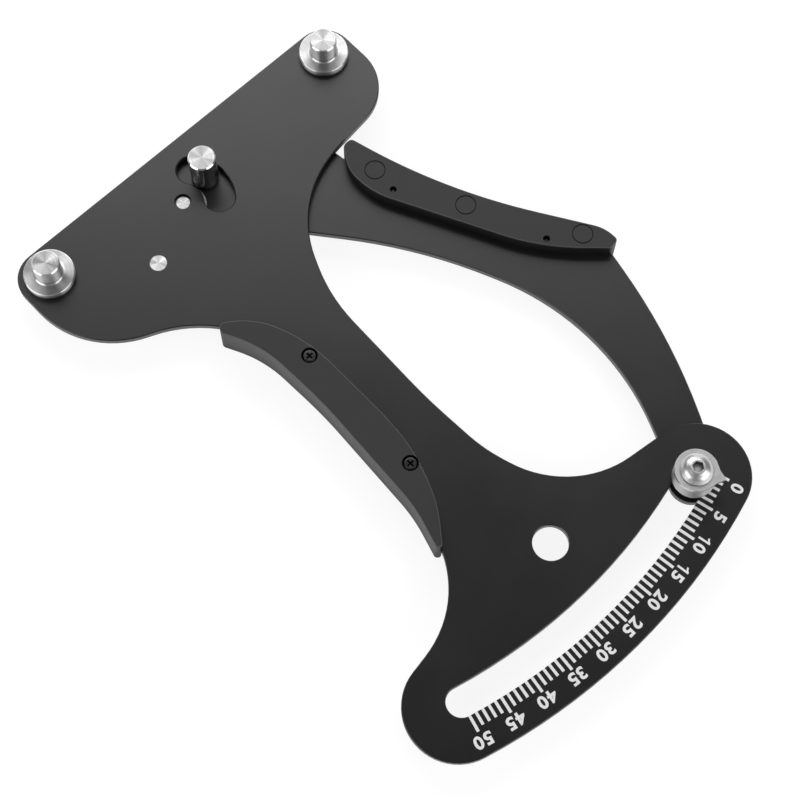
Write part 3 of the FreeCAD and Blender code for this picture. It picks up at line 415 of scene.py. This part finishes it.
def add_ticks(ink):
    """One thin print for each division, long at every fifth, down the slot's broken edge."""
    points, faces = [], []
    flat, drop = SLOT_EDGE + EDGE_BREAK, EDGE_BREAK - BREAK_LIFT
    for n in range(DIVISIONS + 1):
        angle = math.radians(scale_angle(n))
        out = Vector((math.cos(angle), math.sin(angle)))
        side = Vector((-out.y, out.x)) * TICK_WIDTH / 2
        stop = TICK_MINOR if n % MAJOR_EVERY else TICK_MAJOR
        profile = [(stop, INK_LOW), (stop, INK_HIGH), (flat - BEND_IN, INK_HIGH),
                   (SLOT_EDGE - BREAK_LIFT, -drop), (SLOT_EDGE + FOOT_INSET, -drop - INK_HIGH),
                   (flat + BEND_INSET, INK_LOW)]
        first, count = len(points), len(profile)
        for way in (-1, 1):
            for reach, height in profile:
                spot = out * reach + side * way
                points.append(at(spot.x, spot.y, height))
        faces.append(tuple(first + i for i in range(count)))
        faces.append(tuple(first + count + i for i in reversed(range(count))))
        for i in range(count):
            k = (i + 1) % count
            faces.append((first + k, first + i, first + count + i, first + count + k))
    new_piece("scale_ticks", points, faces, ink, "fixed_body")


def digit(char):
    """One digit, 1 high and 1 thick, from x = 0 to its width: points, faces and that width."""
    if char == "1":
        count = len(DIGIT_ONE)
        points = [(x, y, z) for z in (-0.5, 0.5) for x, y in DIGIT_ONE]
        faces = [tuple(range(count))[::-1], tuple(range(count, 2 * count))]
        faces += [(i, (i + 1) % count, (i + 1) % count + count, i + count) for i in range(count)]
    else:
        words = bpy.data.curves.new("digit", "FONT")
        words.body, words.size, words.extrude = char, 1, 0.5
        words.offset, words.resolution_u = NUMERAL_BOLD, NUMERAL_RESOLUTION
        holder = bpy.data.objects.new("digit", words)
        bpy.context.scene.collection.objects.link(holder)
        bpy.context.view_layer.update()
        depsgraph = bpy.context.evaluated_depsgraph_get()
        mesh = bpy.data.meshes.new_from_object(holder.evaluated_get(depsgraph))
        bpy.data.objects.remove(holder)
        points = [tuple(v.co) for v in mesh.vertices]
        faces = [tuple(p.vertices) for p in mesh.polygons]
        bpy.data.meshes.remove(mesh)
    low = [min(p[i] for p in points) for i in (0, 1)]
    high = [max(p[i] for p in points) for i in (0, 1)]
    tall = high[1] - low[1]
    points = [((p[0] - low[0]) / tall, (p[1] - low[1]) / tall, p[2]) for p in points]
    return points, faces, (high[0] - low[0]) / tall


def add_numerals(ink):
    """Every fifth division's number, its top away from the pivot."""
    height, thickness = NUMERAL_HEIGHT * MM, (INK_HIGH - INK_LOW) * MM
    size = Matrix.Diagonal((height * NUMERAL_STRETCH, height, thickness, 1))
    for n in range(0, DIVISIONS + 1, MAJOR_EVERY):
        points, faces, start, gap = [], [], 0.0, 0.0
        for char in str(n):
            start += gap
            spots, sides, width = digit(char)
            faces += [tuple(i + len(points) for i in side) for side in sides]
            points += [Vector((x + start, y - 0.5, z)) for x, y, z in spots]
            start += width
            gap = GAP_AFTER_ONE if char == "1" else DIGIT_GAP
        degrees = NUMERAL_ANGLES.get(n, scale_angle(n))
        reach = NUMERAL_RADIUS + NUMERAL_SAG * (degrees - SCALE_MIDDLE) ** 2
        angle = math.radians(degrees)
        spot = at(reach * math.cos(angle), reach * math.sin(angle), (INK_LOW + INK_HIGH) / 2)
        turn = Matrix.Translation(spot) @ Matrix.Rotation(angle - math.pi / 2, 4, "Z") @ size
        middle = Vector((start / 2, 0, 0))
        points = [turn @ (p - middle) for p in points]
        new_piece(f"scale_numeral_{n:02d}", points, faces, ink, "fixed_body")


def tube(path, radius, sides):
    """Points and faces of a closed tube along a path, with its first side carried along untwisted."""
    points, faces = [], []
    last = len(path) - 1
    ahead = [(path[min(i + 1, last)] - path[max(i - 1, 0)]).normalized() for i in range(last + 1)]
    side = ahead[0].orthogonal().normalized()
    for i, spot in enumerate(path):
        side = (side - ahead[i] * side.dot(ahead[i])).normalized()
        other = ahead[i].cross(side)
        for k in range(sides):
            angle = 2 * math.pi * k / sides
            points.append(spot + (side * math.cos(angle) + other * math.sin(angle)) * radius)
        if i:
            a, b = (i - 1) * sides, i * sides
            faces += [(a + k, a + (k + 1) % sides, b + (k + 1) % sides, b + k) for k in range(sides)]
    faces.append(tuple(range(sides))[::-1])
    faces.append(tuple(range(len(points) - sides, len(points))))
    return points, faces


# The spring, in mm in the tool's own axes: from pin to pin, its coil's outer radius, its wire's
# diameter, the pins' radius, and how far from a pin's centre its coil begins.
SPRING_FROM, SPRING_TO, SPRING_LEVEL = (-18.5, -10.3), (-5.0, 12.0), -7.1
SPRING_OUTER, SPRING_WIRE, SPRING_EYE, SPRING_HOOK = 1.9, 0.5, 1.4, 3.4
# A turn's length in wire diameters, and the degrees at which a loop begins and that it covers.
SPRING_PITCH, LOOP_START, LOOP_TURN = 1.06, -35, 290
# The bend between loop and coil: mm before the coil, share of the coil's radius to the side, mm up.
KNEE_BACK, KNEE_OFF, KNEE_LIFT = 1.0, 0.45, 0.25
LOOP_STEPS, COIL_STEPS, WIRE_SIDES = 24, 20, 10


def add_spring(steel):
    """The extension spring: a close-wound coil that ends in a loop round each pin."""
    start, end = Vector(SPRING_FROM), Vector(SPRING_TO)
    along = (end - start).normalized()
    across = Vector((-along.y, along.x))
    length = (end - start).length
    wire = SPRING_WIRE / 2
    coil, loop = SPRING_OUTER - wire, SPRING_EYE + wire
    first, last = SPRING_HOOK + wire, length - SPRING_HOOK - wire
    turns = round((last - first) / (SPRING_WIRE * SPRING_PITCH))
    steps = turns * COIL_STEPS

    def spot(reach, off, lift):
        flat = start + along * reach + across * off
        return at(flat.x, flat.y, SPRING_LEVEL + lift)

    def pin_loop(centre, begin):
        angles = [math.radians(begin - LOOP_TURN * i / LOOP_STEPS) for i in range(LOOP_STEPS + 1)]
        return [spot(centre + loop * math.cos(a), loop * math.sin(a), 0) for a in angles]

    path = pin_loop(0, LOOP_START)
    path.append(spot(SPRING_HOOK - KNEE_BACK, coil * KNEE_OFF, KNEE_LIFT))
    for i in range(steps + 1):
        angle = 2 * math.pi * i / COIL_STEPS
        reach = first + (last - first) * i / steps
        path.append(spot(reach, coil * math.cos(angle), coil * math.sin(angle)))
    path.append(spot(length - SPRING_HOOK + KNEE_BACK, coil * KNEE_OFF, KNEE_LIFT))
    path += pin_loop(length, LOOP_START + 180)
    points, faces = tube(path, wire * MM, WIRE_SIDES)
    piece = new_piece("return_spring_coil", points, faces, steel, smooth=True)
    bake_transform(piece)
    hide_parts("return_spring")


# ------------------------------------------------------------------ studio

FLOOR_HALF, FLOOR_DROP = 4.0, 0.2 * MM
# The share of what the eye sees of the floor that is the floor's own light, and that light's strength.
FLOOR_GLOW, FLOOR_LIGHT = 0.76, 1.16
ROOM_LIGHT = 0.15
LAMPS = (  # name, direction from the tool, distance, size, radiance
    ("key", (0.50, 0.60, 0.63), 1.15, (1.25, 0.90), 2.5),
    ("left_box", (-0.82, 0.22, 0.42), 1.05, (0.90, 0.70), 2.4),
    ("right_box", (0.22, -0.82, 0.42), 1.05, (0.90, 0.70), 2.4),
)


def floor_white():
    """White that takes a soft shadow: part diffuse, part light of its own for what the eye sees."""
    g = Graph("floor_white")
    path = g.add("LightPath").outputs
    seen = g.math("MAXIMUM", path["Is Camera Ray"],
                  g.math("MAXIMUM", path["Is Glossy Ray"], path["Is Transmission Ray"]))
    mottle = g.noise(g.place(), 3, 2)
    diffuse = g.add("BsdfDiffuse", {"Color": g.tint(mottle, grey(0.80), grey(0.82))}).outputs[0]
    glow = g.add("Emission", {"Color": (1, 1, 1), "Strength": FLOOR_LIGHT}).outputs[0]
    mix = g.add("MixShader", {0: g.times(seen, FLOOR_GLOW), 1: diffuse, 2: glow})
    g.put(g.output.inputs["Surface"], mix.outputs[0])
    return g.material


def add_floor():
    half, low = FLOOR_HALF, -FLOOR_DROP
    corners = [(-half, -half, low), (half, -half, low), (half, half, low), (-half, half, low)]
    new_piece("floor", corners, [(0, 1, 2, 3)], floor_white())


def area_light(name, direction, distance, size, radiance):
    """A soft box that faces the tool; its power follows from its radiance."""
    data = bpy.data.lights.new(name, "AREA")
    data.shape, data.size, data.size_y = "RECTANGLE", size[0], size[1]
    data.energy = radiance * math.pi * size[0] * size[1]
    light = bpy.data.objects.new(name, data)
    bpy.context.scene.collection.objects.link(light)
    way = Vector(direction).normalized()
    light.location = AIM + way * distance
    light.rotation_euler = way.to_track_quat("Z", "Y").to_euler()


def add_world():
    """A dim, even room that the camera sees as white."""
    world = bpy.data.worlds.new("studio")
    bpy.context.scene.world = world
    world.use_nodes = True
    tree = world.node_tree
    tree.nodes.clear()
    output = tree.nodes.new("ShaderNodeOutputWorld")
    path = tree.nodes.new("ShaderNodeLightPath")
    mix = tree.nodes.new("ShaderNodeMixShader")
    tree.links.new(path.outputs["Is Camera Ray"], mix.inputs[0])
    for slot, strength in ((1, ROOM_LIGHT), (2, 1.0)):
        light = tree.nodes.new("ShaderNodeBackground")
        light.inputs["Color"].default_value = (1, 1, 1, 1)
        light.inputs["Strength"].default_value = strength
        tree.links.new(light.outputs[0], mix.inputs[slot])
    tree.links.new(mix.outputs[0], output.inputs["Surface"])


def add_studio():
    add_floor()
    add_world()
    for lamp in LAMPS:
        area_light(*lamp)


# ------------------------------------------------------------------ scene

bpy.context.scene.view_settings.view_transform = "Standard"

add_camera()
finishes = dress_nodes()
ink = print_ink()
add_ticks(ink)
add_numerals(ink)
add_spring(finishes["spring_steel"])
add_studio()
